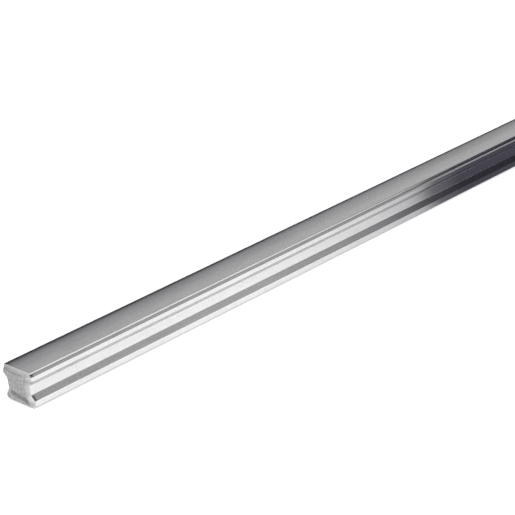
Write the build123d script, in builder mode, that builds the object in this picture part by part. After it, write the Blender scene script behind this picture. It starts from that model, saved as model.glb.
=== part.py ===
"""Roller guide rail of size 45 with a clip-on cover strip.

+X runs along the rail, +Y across it and +Z up from the face that the rail is mounted on.
The origin is on that face, under the middle of the rail. All sizes are in millimetres.
"""

from build123d import *
import os
from math import floor

# The bar: its length and its widths, from side to side
rail_length = 836.0
base_width = 45.0
head_width = 44.5
neck_width = 34.4

# The 45 degree bevels below the base's sides and above the head's sides, measured across the bar
bottom_chamfer = 3.75
head_chamfer = 2.2

# The heights of the section that aren't set by its 45 degree faces, from the bottom up
base_side_height = 5.5
neck_height = 10.55
head_side_height = 4.4
land_height = 2.0

# The underside: two feet with a shallow relief between them
foot_width = 3.2
relief_depth = 1.0

# The land for the cover strip: its sides lean in towards its foot, so that the lips grip it
shoulder_width = 0.55
land_undercut = 0.15
land_edge_radius = 0.25

# Roundings along the bar
raceway_relief_radius = 2.0
crest_radius = 0.8
raceway_edge_radius = 0.5
base_edge_radius = 0.4

# The bevel round both ends. Behind it the raceways and the sides lead in to their full width
end_bevel = 3.5
lead_in_length = 2.5
lead_in_depth = 0.5

# The screw holes, for M12 screws with a cylindrical head
hole_pitch = 105.0
least_end_distance = 20.0
screw_hole_diameter = 14.0
counterbore_diameter = 20.0
counterbore_depth = 17.0
hole_edge_chamfer = 0.5

# The cover strip
strip_thickness = 0.3
strip_clearance = 0.05
lip_gap = 0.15

# Half widths, and the levels of the section above the mounting face
base_half = base_width / 2
head_half = head_width / 2
neck_half = neck_width / 2
shoulder_half = head_half - head_chamfer
land_foot_half = shoulder_half - shoulder_width
land_half = land_foot_half + land_undercut
foot_outer = base_half - bottom_chamfer
foot_inner = foot_outer - foot_width
base_side_top = bottom_chamfer + base_side_height
neck_bottom = base_side_top + base_half - neck_half
neck_top = neck_bottom + neck_height
head_side_bottom = neck_top + head_half - neck_half
head_side_top = head_side_bottom + head_side_height
shoulder_level = head_side_top + head_chamfer
land_top = shoulder_level + land_height

# The section's corners on the +Y side, from the underside up
relief_corner = (foot_inner - relief_depth, relief_depth)
foot_inner_corner = (foot_inner, 0)
foot_outer_corner = (foot_outer, 0)
base_side_low = (base_half, bottom_chamfer)
base_side_high = (base_half, base_side_top)
neck_low = (neck_half, neck_bottom)
neck_high = (neck_half, neck_top)
head_side_low = (head_half, head_side_bottom)
head_side_high = (head_half, head_side_top)
shoulder_corner = (shoulder_half, shoulder_level)
land_foot = (land_foot_half, shoulder_level)
land_corner = (land_half, land_top)
section_corners = [
    relief_corner,
    foot_inner_corner,
    foot_outer_corner,
    base_side_low,
    base_side_high,
    neck_low,
    neck_high,
    head_side_low,
    head_side_high,
    shoulder_corner,
    land_foot,
    land_corner,
]

# The outline that both ends are worked to. It follows the sides and the raceways, and it passes outside the
# land and the feet's faces, so that the lead-in leaves those alone and only the bevel reaches them
outline_half = land_half + lead_in_depth
outline_corners = [
    (foot_outer - lead_in_depth, -lead_in_depth),
    base_side_low,
    base_side_high,
    neck_low,
    neck_high,
    head_side_low,
    head_side_high,
    (outline_half, head_side_top + head_half - outline_half),
    (outline_half, land_top + lead_in_depth),
]


def both_sides(corners):
    """Corners on the +Y side, followed by the same ones on the other side in reverse."""
    return [*corners, *((-half, level) for half, level in reversed(corners))]


def at_corner(vertices, corner):
    """The section's two corners, one on each side, that stand at this half width and level."""
    half, level = corner
    return [vertices.sort_by_distance((side * half, level))[0] for side in (-1, 1)]


rail_end = Plane.YZ.offset(-rail_length / 2)
strip_end = Plane.YZ.offset(end_bevel - rail_length / 2)

raceway_reliefs = {neck_low: raceway_relief_radius, neck_high: raceway_relief_radius}
outer_edges = {
    foot_outer_corner: base_edge_radius,
    base_side_low: base_edge_radius,
    base_side_high: raceway_edge_radius,
    head_side_low: raceway_edge_radius,
    head_side_high: crest_radius,
    land_corner: land_edge_radius,
}
with BuildSketch(rail_end) as rail_section:
    with BuildLine():
        Polyline(*both_sides(section_corners), close=True)
    make_face()
    for corner, radius in {**raceway_reliefs, **outer_edges}.items():
        fillet(at_corner(rail_section.sketch_local.vertices(), corner), radius)

with BuildSketch() as end_outline:
    with BuildLine():
        Polyline(*both_sides(outline_corners), close=True)
    make_face()
    for corner, radius in raceway_reliefs.items():
        fillet(at_corner(end_outline.sketch_local.vertices(), corner), radius)

# Distances from an end, and how far in the outline lies there: at the end, behind the bevel and behind the
# lead-in
end_steps = [
    (0, end_bevel + lead_in_depth),
    (end_bevel, lead_in_depth),
    (end_bevel + lead_in_length, 0),
]
half_length = rail_length / 2
near_steps = [(distance - half_length, inset) for distance, inset in end_steps]
far_steps = [(-place, inset) for place, inset in reversed(near_steps)]
with BuildPart() as end_form:
    for place, inset in near_steps + far_steps:
        with BuildSketch(Plane.YZ.offset(place)):
            add(end_outline.sketch_local)
            if inset:
                offset(amount=-inset, kind=Kind.INTERSECTION)
    loft(ruled=True)

# The bar: its section along its whole length, with both ends worked
with BuildPart() as guide_rail:
    extrude(rail_section.sketch, amount=rail_length)
    add(end_form.part, mode=Mode.INTERSECT)

    # The screw holes stand at one pitch, and the two end distances are alike
    hole_count = floor((rail_length - 2 * least_end_distance) / hole_pitch) + 1
    with Locations((0, 0, land_top)), GridLocations(hole_pitch, 0, hole_count, 1):
        CounterBoreHole(
            radius=screw_hole_diameter / 2,
            counter_bore_radius=counterbore_diameter / 2,
            counter_bore_depth=counterbore_depth,
        )
    hole_rims = guide_rail.edges().filter_by(GeomType.CIRCLE).filter_by(Plane.XY).group_by(Axis.Z)
    chamfer(hole_rims[0] + hole_rims[-1], length=hole_edge_chamfer)

# The strip's middle line runs up one lip, over the land and down the other lip
middle_offset = strip_clearance + strip_thickness / 2
lip_bottom = (land_foot_half + middle_offset, shoulder_level + lip_gap)
strip_corner = (land_half + middle_offset, land_top + middle_offset)
with BuildSketch(strip_end) as strip_section:
    with BuildLine():
        FilletPolyline(
            lip_bottom,
            strip_corner,
            (-strip_corner[0], strip_corner[1]),
            (-lip_bottom[0], lip_bottom[1]),
            radius=land_edge_radius + middle_offset,
        )
    trace(line_width=strip_thickness)

with BuildPart() as cover_strip:
    extrude(strip_section.sketch, amount=rail_length - 2 * end_bevel)

guide_rail.part.label = "guide_rail"
cover_strip.part.label = "cover_strip"

os.makedirs("parts", exist_ok=True)
export_step(guide_rail.part, "parts/guide_rail.step")
export_step(cover_strip.part, "parts/cover_strip.step")
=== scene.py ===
"""The looks of a roller guide rail, a ground steel bar under a spring steel cover strip, on a pale floor.

The row frame is in metres: +X runs along the rail, +Y across it and +Z up from the floor that it lies on.
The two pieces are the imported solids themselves. This script gives them finishes and sets up the studio.
"""

import logging
import math
from dataclasses import dataclass
from enum import Enum

import bmesh
import bpy
from mathutils import Euler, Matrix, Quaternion, Vector

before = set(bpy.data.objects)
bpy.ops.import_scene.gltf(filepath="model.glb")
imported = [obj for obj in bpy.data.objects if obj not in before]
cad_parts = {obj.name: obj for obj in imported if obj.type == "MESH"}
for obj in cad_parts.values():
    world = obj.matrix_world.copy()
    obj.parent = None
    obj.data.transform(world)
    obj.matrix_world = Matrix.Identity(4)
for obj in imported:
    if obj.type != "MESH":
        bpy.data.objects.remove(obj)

log = logging.getLogger("roller_guide_rail")
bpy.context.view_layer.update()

MM = 0.001
MICRON = 1e-6

Colour = tuple[float, float, float]
Size = tuple[float, float, float]
Range = tuple[float, float]
Stops = tuple[Range, ...]

BLACK: Colour = (0.0, 0.0, 0.0)
UNIT: Range = (0.0, 1.0)

# Nearly all of a noise pattern lies between these two values
USUAL: Range = (0.3, 0.7)

# The levels of the dark table end and of the dark ceiling. The dark wall stands between them
TABLE_LEVEL = 0.3 * MM
CEILING_LEVEL = 450 * MM

# Where Blender's Mix node has its share and its two values, for numbers and for colours
NUMBER_INPUTS = (0, 2, 3)
COLOUR_INPUTS = (0, 6, 7)


class Along(Enum):
    """An axis of the row frame, as its place in a vector."""

    LENGTH = 0
    WIDTH = 1
    HEIGHT = 2


class Wiring:
    """Adds shader nodes to one tree and joins them."""

    def __init__(self, tree: bpy.types.NodeTree) -> None:
        """Starts from an empty tree.

        Args:
            tree: the node tree of a material or of the world.
        """
        self.tree = tree
        tree.nodes.clear()

    def node(self, kind: str, **settings: object) -> bpy.types.Node:
        """Adds a node.

        Args:
            kind: Blender's name for the node, without its leading ShaderNode.
            settings: attributes to set on it.

        Returns:
            The new node.
        """
        made = self.tree.nodes.new("ShaderNode" + kind)
        for name, value in settings.items():
            setattr(made, name, value)
        return made

    def feed(self, socket: bpy.types.NodeSocket, value: object) -> None:
        """Joins an output to a socket, or writes a constant on it.

        Args:
            socket: the input to feed.
            value: an output socket, a number or a tuple.
        """
        if isinstance(value, bpy.types.NodeSocket):
            self.tree.links.new(value, socket)
        else:
            socket.default_value = value

    def fill(self, node: bpy.types.Node, values: dict[str, object]) -> None:
        """Feeds several inputs of a node.

        Args:
            node: the node.
            values: what each of its inputs gets, under that input's name.
        """
        for name, value in values.items():
            self.feed(node.inputs[name], value)

    def maths(self, operation: str, *values: object) -> bpy.types.NodeSocket:
        """Works out a number.

        Args:
            operation: Blender's name for the operation.
            values: its inputs, in order.

        Returns:
            The result's socket.
        """
        made = self.node("Math", operation=operation)
        for socket, value in zip(made.inputs, values):
            self.feed(socket, value)
        return made.outputs[0]

    def vector(self, operation: str, *values: object) -> bpy.types.Node:
        """Works on vectors.

        Args:
            operation: Blender's name for the operation.
            values: its inputs, in order.

        Returns:
            The node, because some operations answer with a number and some with a vector.
        """
        made = self.node("VectorMath", operation=operation)
        for socket, value in zip(made.inputs, values):
            self.feed(socket, value)
        return made

    def weighed(self, *parts: tuple[object, float]) -> bpy.types.NodeSocket:
        """Adds numbers up, each by its own share.

        Args:
            parts: the numbers, each with its share.

        Returns:
            The sum's socket.
        """
        total: object = 0.0
        for value, share in parts:
            total = self.maths("MULTIPLY_ADD", value, share, total)
        return total

    def spread(self, value: object, source: Range, result: Range) -> bpy.types.NodeSocket:
        """Maps a number in a straight line from one range to another, and keeps it in the second.

        Args:
            value: the number that is read.
            source: the two ends of its range.
            result: what it becomes at those ends.

        Returns:
            The mapped number's socket.
        """
        made = self.node("MapRange")
        self.fill(made, {"Value": value, "From Min": source[0], "From Max": source[1]})
        self.fill(made, {"To Min": result[0], "To Max": result[1]})
        return made.outputs["Result"]

    def step(self, value: object, low: float, high: float) -> bpy.types.NodeSocket:
        """A soft step from 0 to 1.

        Args:
            value: the number that is read.
            low: where the step starts.
            high: where it ends.

        Returns:
            The step's socket.
        """
        made = self.node("MapRange", interpolation_type="SMOOTHSTEP")
        self.fill(made, {"Value": value, "From Min": low, "From Max": high})
        return made.outputs["Result"]

    def within(self, value: object, limits: Range) -> bpy.types.NodeSocket:
        """Gives 1 between two limits and 0 outside them."""
        above = self.maths("GREATER_THAN", value, limits[0])
        return self.maths("MULTIPLY", above, self.maths("LESS_THAN", value, limits[1]))

    def ramp(self, value: object, stops: Stops) -> bpy.types.NodeSocket:
        """Reads a level off a line through several stops.

        Args:
            value: the number that is read.
            stops: numbers in rising order, each with its level from 0 to 1.

        Returns:
            The level's socket.
        """
        low, high = stops[0][0], stops[-1][0]
        made = self.node("ValToRGB")
        elements = made.color_ramp.elements
        while len(elements) < len(stops):
            elements.new(0.5)
        for element, (place, level) in zip(elements, stops):
            element.position = (place - low) / (high - low)
            element.color = (level, level, level, 1.0)
        self.feed(made.inputs[0], self.spread(value, (low, high), UNIT))
        return made.outputs[0]

    def between(self, share: object, first: object, second: object) -> bpy.types.NodeSocket:
        """Mixes two numbers.

        Args:
            share: how much of the second number counts, from 0 to 1.
            first: the number at a share of 0.
            second: the number at a share of 1.

        Returns:
            The mixed number's socket.
        """
        made = self.node("Mix", data_type="FLOAT")
        for index, value in zip(NUMBER_INPUTS, (share, first, second)):
            self.feed(made.inputs[index], value)
        return made.outputs[0]

    def tinted(self, share: object, first: object, second: object) -> bpy.types.NodeSocket:
        """Mixes two colours.

        Args:
            share: how much of the second colour shows, from 0 to 1.
            first: the colour at a share of 0.
            second: the colour at a share of 1.

        Returns:
            The mixed colour's socket.
        """
        made = self.node("Mix", data_type="RGBA")
        for index, value in zip(COLOUR_INPUTS, (share, first, second)):
            self.feed(made.inputs[index], (*value, 1.0) if isinstance(value, tuple) else value)
        return made.outputs[2]

    def place(self, along: Along) -> bpy.types.NodeSocket:
        """Reads one of the piece's own coordinates.

        Args:
            along: the axis to read.

        Returns:
            The coordinate's socket, in metres.
        """
        parts = self.node("SeparateXYZ")
        self.feed(parts.inputs[0], self.node("TexCoord").outputs["Object"])
        return parts.outputs[along.value]

    def facing(self, along: Along) -> bpy.types.NodeSocket:
        """Reads how far the surface faces along an axis.

        Args:
            along: the axis to read.

        Returns:
            The reading's socket, from -1 to 1.
        """
        parts = self.node("SeparateXYZ")
        self.feed(parts.inputs[0], self.node("TexCoord").outputs["Normal"])
        return parts.outputs[along.value]

    def noise(
        self,
        cell: Size,
        detail: float = 2.0,
        roughness: float = 0.5,
        shift: float = 0.0,
    ) -> bpy.types.NodeSocket:
        """A cloudy pattern on the piece's own coordinates.

        Args:
            cell: the size of one cloud along X, Y and Z, in metres.
            detail: how many finer layers it has.
            roughness: how strong those are.
            shift: moves the pattern, so that two of the same size differ.

        Returns:
            The pattern's socket, about 0 to 1 with its middle at 0.5.
        """
        scaled = self.vector("DIVIDE", self.node("TexCoord").outputs["Object"], cell)
        moved = self.vector("ADD", scaled.outputs[0], (shift, shift, shift))
        made = self.node("TexNoise")
        self.fill(made, {"Vector": moved.outputs[0], "Scale": 1.0, "Detail": detail, "Roughness": roughness})
        return made.outputs[0]

    def close(self, shader: bpy.types.NodeSocket, kind: str = "OutputMaterial") -> None:
        """Joins the last shader to the tree's output."""
        self.feed(self.node(kind).inputs["Surface"], shader)


@dataclass
class Layer:
    """What a finish gives the shader: a colour, a roughness and a height in metres."""

    colour: object
    roughness: object
    height: object

    def under(self, wiring: Wiring, share: object, upper: "Layer") -> "Layer":
        """Lays another finish over this one.

        Args:
            wiring: the tree that both are in.
            share: how much of the upper finish shows, from 0 to 1.
            upper: the finish on top.

        Returns:
            The mixed finish.
        """
        return Layer(
            wiring.tinted(share, self.colour, upper.colour),
            wiring.between(share, self.roughness, upper.roughness),
            wiring.between(share, self.height, upper.height),
        )

    def darkened(self, wiring: Wiring, share: object) -> "Layer":
        """Gives the same finish with its colour darkened by a share from 0 to 1."""
        return Layer(wiring.tinted(share, self.colour, BLACK), self.roughness, self.height)


@dataclass(frozen=True)
class Drawn:
    """Steel with fine lines along its length, as grinding or cold rolling leaves it."""

    pale: Colour
    dark: Colour
    roughness: float
    roughness_spread: float
    line_width: float = 0.35 * MM
    line_length: float = 90 * MM
    line_depth: float = 0.6 * MICRON
    band: Size = (360 * MM, 2.6 * MM, 2.6 * MM)
    grain: Size = (2.6 * MM, 0.8 * MM, 0.8 * MM)
    cloud: Size = (38 * MM, 15.2 * MM, 15.2 * MM)
    wave: Size = (83.6 * MM, 30.4 * MM, 30.4 * MM)
    wave_depth: float = 0.0

    # How much each pattern counts in the tone, and the tones at which the steel is dark and pale
    line_share: float = 0.2
    band_share: float = 0.15
    grain_share: float = 0.45
    cloud_share: float = 0.2
    contrast: Range = (0.41, 0.59)

    # How much two of them count in the roughness
    line_wear: float = 0.4
    cloud_wear: float = 0.6

    def layer(self, wiring: Wiring) -> Layer:
        """Makes the finish in a tree.

        Args:
            wiring: the tree to make it in.

        Returns:
            Its colour, roughness and height.
        """
        lines = wiring.noise((self.line_length, self.line_width, self.line_width), detail=3.0, roughness=0.6)
        bands = wiring.noise(self.band, shift=7.3)
        grain = wiring.noise(self.grain, roughness=0.6, shift=4.7)
        clouds = wiring.noise(self.cloud, detail=3.0, roughness=0.55, shift=3.1)
        tone = wiring.weighed(
            (lines, self.line_share),
            (bands, self.band_share),
            (grain, self.grain_share),
            (clouds, self.cloud_share),
        )
        colour = wiring.tinted(wiring.spread(tone, self.contrast, UNIT), self.dark, self.pale)
        wear = wiring.weighed((lines, self.line_wear), (clouds, self.cloud_wear))
        limits = (self.roughness - self.roughness_spread, self.roughness + self.roughness_spread)
        height = wiring.maths("MULTIPLY", lines, self.line_depth)
        if self.wave_depth:
            waves = wiring.noise(self.wave, detail=1.0, shift=11.7)
            height = wiring.maths("MULTIPLY_ADD", waves, self.wave_depth, height)
        return Layer(colour, wiring.spread(wear, USUAL, limits), height)


@dataclass(frozen=True)
class Mottled:
    """Steel that was sawn, turned or milled and not ground since: blotches, with coarser marks one way."""

    pale: Colour
    dark: Colour
    roughness: float
    blotch: float
    mark: Size
    mark_depth: float = 6 * MICRON
    roughness_spread: float = 0.07

    # How much each pattern counts in the tone, and the tones at which the steel is dark and pale
    blotch_share: float = 0.65
    mark_share: float = 0.35
    contrast: Range = (0.38, 0.62)

    def layer(self, wiring: Wiring) -> Layer:
        """Makes the finish in a tree.

        Args:
            wiring: the tree to make it in.

        Returns:
            Its colour, roughness and height.
        """
        blotches = wiring.noise((self.blotch,) * 3, detail=4.0, roughness=0.62, shift=5.9)
        marks = wiring.noise(self.mark, roughness=0.55, shift=2.4)
        tone = wiring.weighed((marks, self.mark_share), (blotches, self.blotch_share))
        colour = wiring.tinted(wiring.spread(tone, self.contrast, UNIT), self.dark, self.pale)
        limits = (self.roughness - self.roughness_spread, self.roughness + self.roughness_spread)
        height = wiring.maths("MULTIPLY", marks, self.mark_depth)
        return Layer(colour, wiring.spread(blotches, USUAL, limits), height)


@dataclass(frozen=True)
class Streak:
    """A darker streak across an end face, with a soft border."""

    middle: Size
    slope: float
    reach: float
    half: float
    darkness: float

    # Where its border starts outside and ends inside, as shares of the half height and of the reach
    border: Range = (1.4, 0.6)
    end_border: Range = (1.0, 0.8)

    def share(self, wiring: Wiring) -> bpy.types.NodeSocket:
        """Works out how dark the streak is at each point.

        Args:
            wiring: the tree to work in.

        Returns:
            The share of black, from 0 outside the streak to its full darkness inside.
        """
        here = wiring.vector("SUBTRACT", wiring.node("TexCoord").outputs["Object"], self.middle).outputs[0]
        upwards = Vector((0.0, -self.slope, 1.0)).normalized()
        sideways = Vector((0.0, 1.0, 0.0))
        inside: object = self.darkness
        for direction, half, border in (
            (upwards, self.half, self.border),
            (sideways, self.reach, self.end_border),
        ):
            off = wiring.maths("ABSOLUTE", wiring.vector("DOT_PRODUCT", here, direction).outputs["Value"])
            inside = wiring.maths("MULTIPLY", wiring.step(off, border[0] * half, border[1] * half), inside)
        return inside


class Steel:
    """A steel material in the making: its tree, and the metal shader that closes it."""

    def __init__(self, name: str) -> None:
        """Makes the material, still without a shader.

        Args:
            name: the material's name.
        """
        self.material = bpy.data.materials.new(name)
        self.material.use_nodes = True
        self.wiring = Wiring(self.material.node_tree)

    def close(self, layer: Layer, metallic: object = 1.0) -> bpy.types.Material:
        """Joins the finished layer to a metal shader.

        Args:
            layer: what the shader shows.
            metallic: how bare the metal is, lower where it keeps a grey skin.

        Returns:
            The material.
        """
        wiring = self.wiring
        bump = wiring.node("Bump")
        wiring.fill(bump, {"Strength": 1.0, "Distance": 1.0, "Height": layer.height})
        shader = wiring.node("BsdfPrincipled")
        wiring.fill(shader, {"Base Color": layer.colour, "Metallic": metallic, "Roughness": layer.roughness})
        wiring.feed(shader.inputs["Normal"], bump.outputs["Normal"])
        wiring.close(shader.outputs[0])
        return self.material


@dataclass
class GuideRail:
    """The bar: ground along its length, sawn at its ends, drilled from above and milled underneath."""

    node: str = "guide_rail"
    slot: str = "ground_steel"

    # Where each finish lies: levels over the mounting face, and distances from the rail's middle
    raceway_levels: Range = (9.3 * MM, 30.5 * MM)
    relief_levels: Range = (24.25 * MM, 25.7 * MM)
    head_side_top: float = 34.5 * MM
    crest_top: float = 35.92 * MM
    crest_blend: float = 0.2 * MM
    bore_zone: float = 12 * MM
    milled_top: float = 1.05 * MM
    milled_half: float = 15.4 * MM
    bevel_start: float = 414.5 * MM
    bevel_end: float = 418 * MM
    shoulder_levels: Range = (34.4 * MM, 36.85 * MM)
    shoulder_start: float = 410.8 * MM

    # How far a surface faces one way where a finish starts, and where it is complete
    inclined: Range = (0.35, 0.6)
    flat: float = 0.9
    sideways: Range = (0.3, 0.45)
    bevel_facing: Range = (0.3, 0.6)
    end_facing: Range = (0.85, 0.97)

    # How dark the painted shade gets: on the shoulders' starts, where it stands in for a dark reflection, on
    # the bevels' corners beside them, where it damps a lamp's glint, and on the bevels' outer edges, where
    # it stands in for the shading of their rounding
    painted_start_shade: float = 0.62
    painted_corner_shade: float = 0.25
    painted_bevel_shade: float = 0.22
    streaks: tuple[Streak, ...] = (
        Streak(middle=(0.0, -2.5 * MM, 10.4 * MM), slope=0.167, reach=15 * MM, half=2.6 * MM, darkness=0.42),
        Streak(middle=(0.0, 0.0, 34.7 * MM), slope=0.0, reach=11 * MM, half=0.5 * MM, darkness=0.3),
    )

    sides: Drawn = Drawn(
        pale=(0.775, 0.775, 0.78),
        dark=(0.665, 0.665, 0.67),
        roughness=0.16,
        roughness_spread=0.04,
    )
    raceways: Drawn = Drawn(
        pale=(0.63, 0.63, 0.635),
        dark=(0.5, 0.5, 0.505),
        roughness=0.14,
        roughness_spread=0.03,
    )
    relieved: Drawn = Drawn(
        pale=(0.62, 0.62, 0.625),
        dark=(0.53, 0.53, 0.535),
        roughness=0.5,
        roughness_spread=0.05,
    )
    crests: Drawn = Drawn(
        pale=(0.345, 0.345, 0.35),
        dark=(0.285, 0.285, 0.29),
        roughness=0.43,
        roughness_spread=0.05,
    )
    crest_metallic: float = 0.3
    sawn: Mottled = Mottled(
        pale=(0.47, 0.47, 0.47),
        dark=(0.22, 0.22, 0.225),
        roughness=0.48,
        blotch=2.6 * MM,
        mark=(1 * MM, 9 * MM, 0.5 * MM),
    )
    bevelled: Mottled = Mottled(
        pale=(0.64, 0.64, 0.64),
        dark=(0.46, 0.46, 0.46),
        roughness=0.5,
        blotch=2.2 * MM,
        mark=(0.4 * MM, 3 * MM, 3 * MM),
        mark_depth=2 * MICRON,
    )
    bored: Mottled = Mottled(
        pale=(0.6, 0.6, 0.605),
        dark=(0.36, 0.36, 0.37),
        roughness=0.38,
        blotch=2.5 * MM,
        mark=(8 * MM, 8 * MM, 0.35 * MM),
    )
    milled: Mottled = Mottled(
        pale=(0.5, 0.5, 0.51),
        dark=(0.3, 0.3, 0.31),
        roughness=0.46,
        blotch=5 * MM,
        mark=(1.2 * MM, 14 * MM, 3 * MM),
    )

    def dress(self) -> bpy.types.Object:
        """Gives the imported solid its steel.

        Returns:
            The dressed object.
        """
        steel = Steel(self.slot)
        wiring = steel.wiring
        outwards = wiring.maths("ABSOLUTE", wiring.facing(Along.LENGTH))
        upright = wiring.maths("ABSOLUTE", wiring.facing(Along.HEIGHT))
        across = wiring.maths("ABSOLUTE", wiring.place(Along.WIDTH))
        level = wiring.place(Along.HEIGHT)

        head = wiring.maths("GREATER_THAN", level, self.head_side_top)
        sloped = wiring.maths(
            "MULTIPLY",
            wiring.maths("MAXIMUM", wiring.within(level, self.raceway_levels), head),
            wiring.step(upright, *self.inclined),
        )
        crest = wiring.step(level, self.crest_top, self.crest_top - self.crest_blend)
        crest = wiring.maths("MULTIPLY", head, crest)
        crest = wiring.maths("MULTIPLY", crest, wiring.maths("GREATER_THAN", across, self.bore_zone))
        milled = wiring.maths(
            "MULTIPLY",
            wiring.maths("LESS_THAN", level, self.milled_top),
            wiring.maths("LESS_THAN", across, self.milled_half),
        )
        bored = wiring.maths(
            "MULTIPLY",
            wiring.maths("LESS_THAN", across, self.bore_zone),
            wiring.maths("LESS_THAN", upright, self.flat),
        )
        layer = self.sides.layer(wiring)
        layer = layer.under(wiring, sloped, self.raceways.layer(wiring))
        layer = layer.under(wiring, wiring.within(level, self.relief_levels), self.relieved.layer(wiring))
        layer = layer.under(wiring, crest, self.crests.layer(wiring))
        layer = layer.under(wiring, milled, self.milled.layer(wiring))
        layer = layer.under(wiring, bored, self.bored.layer(wiring))
        bevelled = wiring.step(outwards, *self.bevel_facing)
        layer = layer.under(wiring, bevelled, self.bevel(wiring))
        # Painted shade: the shoulders' starts darkened as if they mirrored something dark, and the bevel
        # corners beside them darkened against a lamp's glint
        layer = layer.darkened(wiring, self.painted_shoulder_shade(wiring, bevelled))
        layer = layer.under(wiring, wiring.step(outwards, *self.end_facing), self.end_face(wiring))

        skin = wiring.maths("MULTIPLY", crest, wiring.maths("SUBTRACT", 1.0, bevelled))
        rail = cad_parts[self.node]
        rail.material_slots[0].material = steel.close(layer, wiring.between(skin, 1.0, self.crest_metallic))
        return rail

    def painted_shoulder_shade(self, wiring: Wiring, bevelled: bpy.types.NodeSocket) -> bpy.types.NodeSocket:
        """Works out the painted shade on the shoulders' first millimetres beside the strip, which stands in
        for a dark reflection, and on the bevel corners beside them, which damps a lamp's glint.

        Args:
            wiring: the tree to work in.
            bevelled: how far a point is on a bevel, from 0 to 1.

        Returns:
            The share of black, from 0 outside the starts.
        """
        out = wiring.maths("ABSOLUTE", wiring.place(Along.LENGTH))
        side = wiring.maths("ABSOLUTE", wiring.facing(Along.WIDTH))
        start = wiring.maths(
            "MULTIPLY",
            wiring.within(wiring.place(Along.HEIGHT), self.shoulder_levels),
            wiring.maths("GREATER_THAN", out, self.shoulder_start),
        )
        start = wiring.maths("MULTIPLY", start, wiring.step(side, *self.sideways))
        darkness = wiring.between(bevelled, self.painted_start_shade, self.painted_corner_shade)
        return wiring.maths("MULTIPLY", start, darkness)

    def bevel(self, wiring: Wiring) -> Layer:
        """Makes the finish of the bevels, with painted shade that darkens them towards the end face in place
        of the shading of their rounding.

        Args:
            wiring: the tree to make it in.

        Returns:
            The finish of the bevels.
        """
        out = wiring.maths("ABSOLUTE", wiring.place(Along.LENGTH))
        # Painted shade, stronger towards the end face, in place of the shading of the bevel's rounding
        edge = wiring.step(out, self.bevel_start, self.bevel_end)
        darkness = wiring.maths("MULTIPLY", edge, self.painted_bevel_shade)
        return self.bevelled.layer(wiring).darkened(wiring, darkness)

    def end_face(self, wiring: Wiring) -> Layer:
        """Makes the sawn finish, darkened along two streaks across it.

        Args:
            wiring: the tree to make it in.

        Returns:
            The finish of both ends.
        """
        layer = self.sawn.layer(wiring)
        for streak in self.streaks:
            layer = layer.darkened(wiring, streak.share(wiring))
        return layer


@dataclass
class CoverStrip:
    """The spring steel strip that is clipped over the rail's land."""

    node: str = "cover_strip"
    slot: str = "strip_steel"
    rolled: Drawn = Drawn(
        pale=(0.685, 0.685, 0.685),
        dark=(0.545, 0.545, 0.55),
        roughness=0.22,
        roughness_spread=0.04,
        line_width=0.5 * MM,
        line_length=60 * MM,
        line_depth=0.5 * MICRON,
        band=(240 * MM, 4 * MM, 4 * MM),
        wave_depth=40 * MICRON,
    )

    def dress(self) -> bpy.types.Object:
        """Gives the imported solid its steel.

        Returns:
            The dressed object.
        """
        steel = Steel(self.slot)
        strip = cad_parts[self.node]
        strip.material_slots[0].material = steel.close(self.rolled.layer(steel.wiring))
        return strip


@dataclass(frozen=True)
class Sky:
    """The light from all round: white at the horizon and dimmer above, with a pale ceiling."""

    # Heights over the horizon in degrees, each with its brightness
    levels: Stops = (
        (0.0, 1.0),
        (8.0, 0.97),
        (17.0, 0.67),
        (20.5, 0.79),
        (24.5, 0.54),
        (34.0, 0.62),
        (43.0, 0.65),
        (49.0, 0.54),
        (57.0, 0.14),
        (68.0, 0.2),
        (80.0, 0.36),
        (90.0, 0.4),
    )

    def build(self) -> bpy.types.World:
        """Makes the world.

        Returns:
            The world, which the scene then uses.
        """
        world = bpy.data.worlds.new("studio")
        world.use_nodes = True
        wiring = Wiring(world.node_tree)
        parts = wiring.node("SeparateXYZ")
        wiring.feed(parts.inputs[0], wiring.node("TexCoord").outputs["Generated"])
        rise = wiring.maths("ARCSINE", parts.outputs[Along.HEIGHT.value])
        degrees = wiring.maths("MULTIPLY", rise, math.degrees(1.0))
        background = wiring.node("Background")
        wiring.feed(background.inputs["Color"], wiring.ramp(degrees, self.levels))
        wiring.feed(background.inputs["Strength"], 1.0)
        wiring.close(background.outputs[0], "OutputWorld")
        bpy.context.scene.world = world
        return world


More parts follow.
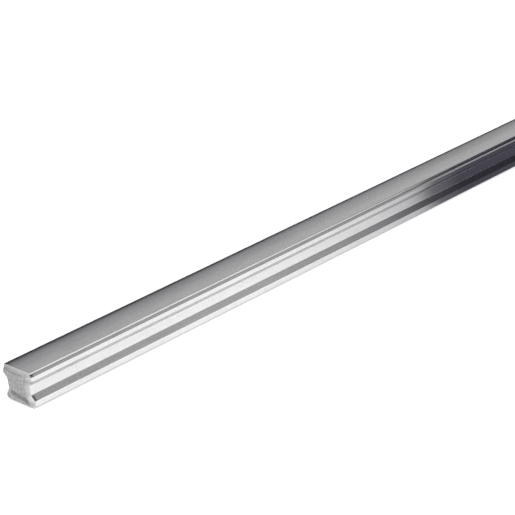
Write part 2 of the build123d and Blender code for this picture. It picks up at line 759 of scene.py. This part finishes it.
@dataclass(frozen=True)
class Floor:
    """The pale floor that the rail lies on."""

    radius: float = 14.0
    segments: int = 96
    drop: float = 0.05 * MM
    colour: Colour = (0.8, 0.8, 0.8)

    # Its own light: to the camera beside the rail, where it is painted light that lifts the rail's shadow,
    # and further away, and in reflections and through glass
    painted_near_light: float = 0.6
    far_light: float = 0.22
    fade: Range = (45 * MM, 80 * MM)
    mirrored_light: float = 0.35

    def build(self) -> bpy.types.Object:
        """Makes the floor.

        Returns:
            The floor's object.
        """
        shape = bmesh.new()
        bmesh.ops.create_circle(shape, cap_ends=True, segments=self.segments, radius=self.radius)
        bmesh.ops.translate(shape, verts=shape.verts[:], vec=(0, 0, -self.drop))
        return stage_object("floor", shape, self.material())

    def material(self) -> bpy.types.Material:
        """Makes a matt white that keeps its shadows and adds a little light of its own, more of it beside
        the rail as painted light that lifts the rail's shadow there.

        Returns:
            The material. Its own light shows, directly and in reflections, and lights nothing.
        """
        material = bpy.data.materials.new("floor")
        material.use_nodes = True
        wiring = Wiring(material.node_tree)
        matt = wiring.node("BsdfDiffuse")
        wiring.feed(matt.inputs["Color"], (*self.colour, 1.0))
        path = wiring.node("LightPath")
        mirrored = wiring.maths(
            "MAXIMUM",
            path.outputs["Is Glossy Ray"],
            path.outputs["Is Transmission Ray"],
        )
        mirrored = wiring.maths("MULTIPLY", mirrored, self.mirrored_light)
        glow = wiring.node("Emission")
        # Painted light: the camera sees more glow beside the rail, which lifts the rail's shadow there,
        # fading out to the plain level further away
        far = wiring.step(wiring.maths("ABSOLUTE", wiring.place(Along.WIDTH)), *self.fade)
        glow_with_painted_near = wiring.between(far, self.painted_near_light, self.far_light)
        strength = wiring.maths("MULTIPLY_ADD", path.outputs["Is Camera Ray"], glow_with_painted_near, mirrored)
        wiring.feed(glow.inputs["Strength"], strength)
        both = wiring.node("AddShader")
        wiring.feed(both.inputs[0], matt.outputs[0])
        wiring.feed(both.inputs[1], glow.outputs[0])
        wiring.close(both.outputs[0])
        return material


@dataclass(frozen=True)
class Lamp:
    """A wide soft light that falls evenly on the whole floor. Its angles are in degrees."""

    name: str
    azimuth: float
    elevation: float
    width: float
    strength: float
    distance: float = 2.0

    def build(self) -> bpy.types.Object:
        """Makes the lamp.

        Returns:
            The lamp's object.
        """
        light = bpy.data.lights.new(self.name, "SUN")
        light.angle = math.radians(self.width)
        light.energy = self.strength
        lamp = bpy.data.objects.new(self.name, light)
        away = Vector((0.0, self.distance, 0.0))
        away.rotate(Euler((math.radians(self.elevation), 0.0, math.radians(self.azimuth - 90.0))))
        lamp.location = away
        lamp.rotation_mode = "QUATERNION"
        lamp.rotation_quaternion = (-away).to_track_quat("-Z", "Y")
        bpy.context.scene.collection.objects.link(lamp)
        return lamp


@dataclass(frozen=True)
class Flag:
    """A plain sheet near the rail that only the steel mirrors. Its sizes are in metres.

    Its shares, if it has any, give how much of it shows at distances from its start, along one direction.
    """

    name: str
    corner: Size
    side: Size
    other_side: Size
    colour: Colour
    start: Size = (0.0, 0.0, 0.0)
    along: Size = (1.0, 0.0, 0.0)
    shares: Stops = ()

    def build(self) -> bpy.types.Object:
        """Makes the sheet.

        Returns:
            The sheet's object.
        """
        corner, side, other = Vector(self.corner), Vector(self.side), Vector(self.other_side)
        shape = bmesh.new()
        corners = (corner, corner + side, corner + side + other, corner + other)
        shape.faces.new([shape.verts.new(place) for place in corners])
        flag = stage_object(self.name, shape, self.material())
        flag.visible_camera = False
        flag.visible_diffuse = False
        flag.visible_shadow = False
        return flag

    def material(self) -> bpy.types.Material:
        """Makes an even tone that is clear where it has faded out.

        Returns:
            The material.
        """
        material = bpy.data.materials.new(self.name)
        material.use_nodes = True
        wiring = Wiring(material.node_tree)
        tone = wiring.node("Emission")
        wiring.feed(tone.inputs["Color"], (*self.colour, 1.0))
        if not self.shares:
            wiring.close(tone.outputs[0])
            return material
        here = wiring.vector("SUBTRACT", wiring.node("TexCoord").outputs["Object"], self.start)
        reach = wiring.vector("DOT_PRODUCT", here.outputs[0], Vector(self.along).normalized())
        clear = wiring.node("BsdfTransparent")
        mixed = wiring.node("MixShader")
        wiring.feed(mixed.inputs[0], wiring.ramp(reach.outputs["Value"], self.shares))
        wiring.feed(mixed.inputs[1], clear.outputs[0])
        wiring.feed(mixed.inputs[2], tone.outputs[0])
        wiring.close(mixed.outputs[0])
        return material


@dataclass
class ViewPoint:
    """The camera: a long lens above the rail's near end, turned a little about its own axis.

    Its angles are in degrees, and its lens and sensor in millimetres, as Blender has them.
    """

    aim: Size = (-81.9 * MM, 4.465 * MM, 30.19 * MM)
    distance: float = 2027.22 * MM
    azimuth: float = -41.932
    elevation: float = 22.482
    roll: float = -6.958
    lens: float = 131.302
    sensor: float = 36.0
    clip: Range = (0.05, 100.0)

    def build(self) -> bpy.types.Object:
        """Makes the camera and hands it to the scene.

        Returns:
            The camera's object.
        """
        turn, lift = math.radians(self.azimuth), math.radians(self.elevation)
        back = Vector((math.sin(turn) * math.cos(lift), -math.cos(turn) * math.cos(lift), math.sin(lift)))
        data = bpy.data.cameras.new("camera")
        data.lens, data.sensor_width = self.lens, self.sensor
        data.clip_start, data.clip_end = self.clip
        camera = bpy.data.objects.new("camera", data)
        camera.location = Vector(self.aim) + back * self.distance
        camera.rotation_mode = "QUATERNION"
        level = (-back).to_track_quat("-Z", "Y")
        camera.rotation_quaternion = level @ Quaternion((0.0, 0.0, 1.0), math.radians(self.roll))
        bpy.context.scene.collection.objects.link(camera)
        bpy.context.scene.camera = camera
        return camera


def stage_object(name: str, shape: bmesh.types.BMesh, material: bpy.types.Material) -> bpy.types.Object:
    """Turns a finished bmesh into an object of the stage.

    Args:
        name: the object's name.
        shape: its shape, in the row frame. It is freed.
        material: what it wears.

    Returns:
        The new object.
    """
    mesh = bpy.data.meshes.new(name)
    shape.to_mesh(mesh)
    shape.free()
    mesh.materials.append(material)
    made = bpy.data.objects.new(name, mesh)
    bpy.context.scene.collection.objects.link(made)
    return made


@dataclass
class Studio:
    """The floor, the light from all round, two soft lamps and the sheets that the steel mirrors."""

    sky: Sky = Sky()
    floor: Floor = Floor()
    lamps: tuple[Lamp, ...] = (
        Lamp("key", azimuth=-150.0, elevation=58.0, width=40.0, strength=1.7),
        Lamp("fill", azimuth=-165.0, elevation=72.0, width=60.0, strength=0.45),
    )
    flags: tuple[Flag, ...] = (
        Flag(
            "table_end",
            corner=(-0.1, -0.0198, TABLE_LEVEL),
            side=(3.0, 0.0, 0.0),
            other_side=(0.0, -2.0, 0.0),
            start=(0.184, -0.034, 0.0),
            along=(0.745, 0.667, 0.0),
            shares=(
                (-0.25, 0.0),
                (-0.163, 0.06),
                (-0.113, 0.17),
                (-0.074, 0.25),
                (-0.048, 0.35),
                (-0.027, 0.43),
                (-0.008, 0.58),
                (0.014, 0.92),
                (0.05, 1.0),
            ),
            colour=(0.081, 0.079, 0.103),
        ),
        Flag(
            "dark_ceiling",
            corner=(0.15, -0.9, CEILING_LEVEL),
            side=(1.2, 0.0, 0.0),
            other_side=(0.0, 1.0, 0.0),
            shares=(
                (0.29, 0.0),
                (0.456, 0.24),
                (0.523, 0.34),
                (0.563, 0.47),
                (0.598, 0.66),
                (0.634, 0.81),
                (0.669, 0.94),
                (0.72, 1.0),
            ),
            colour=(0.04, 0.038, 0.052),
        ),
        Flag(
            "dark_corner",
            corner=(0.4, 0.1, CEILING_LEVEL),
            side=(0.6, 0.0, 0.0),
            other_side=(0.0, 0.35, 0.0),
            shares=((0.5, 0.0), (0.56, 0.4), (0.62, 0.9), (0.68, 1.0)),
            colour=(0.07, 0.068, 0.085),
        ),
        Flag(
            "pale_card",
            corner=(-0.86, 0.35, 0.17),
            side=(0.44, 0.0, 0.0),
            other_side=(0.0, 0.0, 0.58),
            colour=(1.25, 1.25, 1.25),
        ),
        Flag(
            "end_shade",
            corner=(-0.47, 0.045, 0.03),
            side=(0.056, 0.0, 0.0),
            other_side=(0.0, 0.0, 0.032),
            colour=(0.3, 0.3, 0.31),
        ),
        Flag(
            "dark_wall",
            corner=(0.75, -0.9, TABLE_LEVEL),
            side=(2.2, 0.0, 0.0),
            other_side=(0.0, 0.0, CEILING_LEVEL - TABLE_LEVEL),
            shares=((0.85, 0.0), (1.0, 0.4), (1.08, 0.9), (1.15, 1.0)),
            colour=(0.057, 0.054, 0.08),
        ),
        Flag(
            "back_flag",
            corner=(-0.412, 0.03, 0.033),
            side=(1.5, 0.0, 0.0),
            other_side=(0.0, 0.0, 0.06),
            along=(-0.0035, 0.0, -1.0),
            shares=(
                (-0.065, 0.02),
                (-0.059, 0.17),
                (-0.055, 0.29),
                (-0.0525, 0.37),
                (-0.05, 0.42),
                (-0.048, 0.48),
                (-0.047, 0.6),
                (-0.0455, 0.85),
                (-0.0445, 1.0),
            ),
            colour=(0.053, 0.05, 0.078),
        ),
        Flag(
            "strip_edge",
            corner=(-0.412, 0.0203, 0.0388),
            side=(1.5, 0.0, 0.0),
            other_side=(0.0, 0.0, 0.004),
            along=(-0.0009, 0.0, -1.0),
            shares=((-0.0421, 0.0), (-0.0412, 0.6), (-0.0405, 1.0)),
            colour=(0.03, 0.028, 0.036),
        ),
    )

    def build(self) -> None:
        """Makes the whole studio."""
        self.sky.build()
        self.floor.build()
        for thing in (*self.lamps, *self.flags):
            thing.build()
        bpy.context.scene.view_settings.view_transform = "Standard"


def main() -> None:
    """Dresses both pieces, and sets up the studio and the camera."""
    logging.basicConfig(level=logging.INFO, format="%(name)s: %(message)s")
    for piece in (GuideRail(), CoverStrip()):
        made = piece.dress()
        log.info("%s: %d faces, slot %s", made.name, len(made.data.polygons), piece.slot)
    Studio().build()
    camera = ViewPoint().build()
    log.info("camera: %.1f mm lens", camera.data.lens)


if __name__ == "__main__":
    main()
